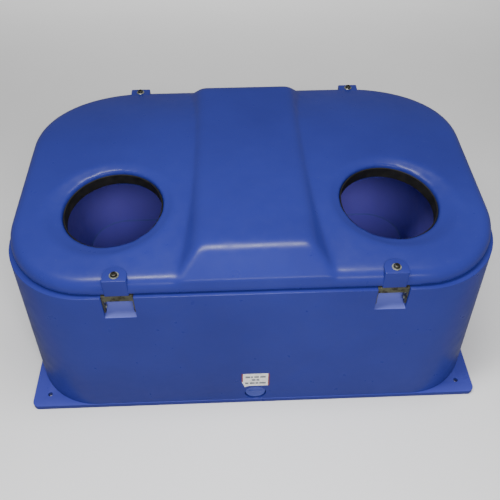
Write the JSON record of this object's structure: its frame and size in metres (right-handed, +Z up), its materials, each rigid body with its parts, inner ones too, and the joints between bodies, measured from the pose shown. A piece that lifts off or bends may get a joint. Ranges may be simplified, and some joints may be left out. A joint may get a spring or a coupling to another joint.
{
  "type": "livestock water trough",
  "caption": "Insulated ground-standing livestock drinker: blue moulded tank on a corner-eared base, bolted domed lid with round drinking openings, raised float-valve housing, drain plug.",
  "frame": {"origin": "centre of the base flange's underside, on the ground", "axes": "+X along the long side to the right when facing the drain, +Y from the drain side to the back, +Z up"},
  "size_m": [1.1, 0.704, 0.5],
  "materials": {
    "blue_shell": "satin",
    "blue_basin": "satin",
    "blue_fitting": "satin",
    "foam": "matte",
    "rubber": "matte",
    "label": "matte",
    "float_plastic": "gloss",
    "pipe_plastic": "satin",
    "brass": "satin",
    "zinc_steel": "satin",
    "steel": "satin"
  },
  "bodies": {
    "tank": {"basin_liner": "blue_basin", "bracket_front_left": "steel", "bracket_front_right": "steel", "bracket_rear_left": "steel", "bracket_rear_right": "steel", "bracket_screw_front_left_inner_lower": "zinc_steel", "bracket_screw_front_left_inner_upper": "zinc_steel", "bracket_screw_front_left_outer_lower": "zinc_steel", "bracket_screw_front_left_outer_upper": "zinc_steel", "bracket_screw_front_right_inner_lower": "zinc_steel", "bracket_screw_front_right_inner_upper": "zinc_steel", "bracket_screw_front_right_outer_lower": "zinc_steel", "bracket_screw_front_right_outer_upper": "zinc_steel", "bracket_screw_rear_left_inner_lower": "zinc_steel", "bracket_screw_rear_left_inner_upper": "zinc_steel", "bracket_screw_rear_left_outer_lower": "zinc_steel", "bracket_screw_rear_left_outer_upper": "zinc_steel", "bracket_screw_rear_right_inner_lower": "zinc_steel", "bracket_screw_rear_right_inner_upper": "zinc_steel", "bracket_screw_rear_right_outer_lower": "zinc_steel", "bracket_screw_rear_right_outer_upper": "zinc_steel", "captive_nut_front_left": "zinc_steel", "captive_nut_front_right": "zinc_steel", "captive_nut_rear_left": "zinc_steel", "captive_nut_rear_right": "zinc_steel", "drain_label": "label", "drain_sleeve": "blue_fitting", "pipe_union_nut": "brass", "pivot_pin": "zinc_steel", "supply_pipe": "pipe_plastic", "supply_riser": "blue_basin", "tank_casing": "blue_shell", "tank_insulation": "foam", "valve_body": "brass", "valve_locknut": "brass", "valve_plate": "steel", "valve_plate_screw_left": "zinc_steel", "valve_plate_screw_right": "zinc_steel"},
    "lid": {"lid_gasket": "rubber", "lid_insulation": "foam", "lid_pan": "blue_shell", "lid_shell": "blue_shell", "opening_ring_left": "rubber", "opening_ring_right": "rubber", "valve_cover": "blue_shell", "washer_front_left": "zinc_steel", "washer_front_right": "zinc_steel", "washer_rear_left": "zinc_steel", "washer_rear_right": "zinc_steel"},
    "bolt_front_left": {"hold_down_bolt_front_left": "zinc_steel"},
    "bolt_front_right": {"hold_down_bolt_front_right": "zinc_steel"},
    "bolt_rear_left": {"hold_down_bolt_rear_left": "zinc_steel"},
    "bolt_rear_right": {"hold_down_bolt_rear_right": "zinc_steel"},
    "float": {"float_arm": "brass", "float_ball": "float_plastic"},
    "plunger": {"valve_plunger": "brass"},
    "plug": {"drain_plug": "blue_fitting", "drain_seal": "rubber"}
  },
  "joints": [
    {"name": "lid_lift", "type": "slide", "parent": "tank", "child": "lid", "axis": [0, 0, 1], "range_m": [0, 0.16]},
    {"name": "bolt_withdraw_front_left", "type": "slide", "parent": "lid", "child": "bolt_front_left", "axis": [0, 0, 1], "range_m": [0, 0.08]},
    {"name": "bolt_withdraw_front_right", "type": "slide", "parent": "lid", "child": "bolt_front_right", "axis": [0, 0, 1], "range_m": [0, 0.08]},
    {"name": "bolt_withdraw_rear_left", "type": "slide", "parent": "lid", "child": "bolt_rear_left", "axis": [0, 0, 1], "range_m": [0, 0.08]},
    {"name": "bolt_withdraw_rear_right", "type": "slide", "parent": "lid", "child": "bolt_rear_right", "axis": [0, 0, 1], "range_m": [0, 0.08]},
    {"name": "float_swing", "type": "hinge", "parent": "tank", "child": "float", "pos_m": [0, 0.07, 0.431], "axis": [-1, 0, 0], "range_deg": [0, 32]},
    {"name": "plunger_push", "type": "slide", "parent": "tank", "child": "plunger", "axis": [0, 1, 0], "range_m": [0, 0.0078]},
    {"name": "drain_plug_pull", "type": "slide", "parent": "tank", "child": "plug", "axis": [0, -1, 0], "range_m": [0, 0.07]}
  ],
  "couplings": [
    {"joint": "plunger_push", "follows": "float_swing", "m_per_rad": 0.01382}
  ]
}
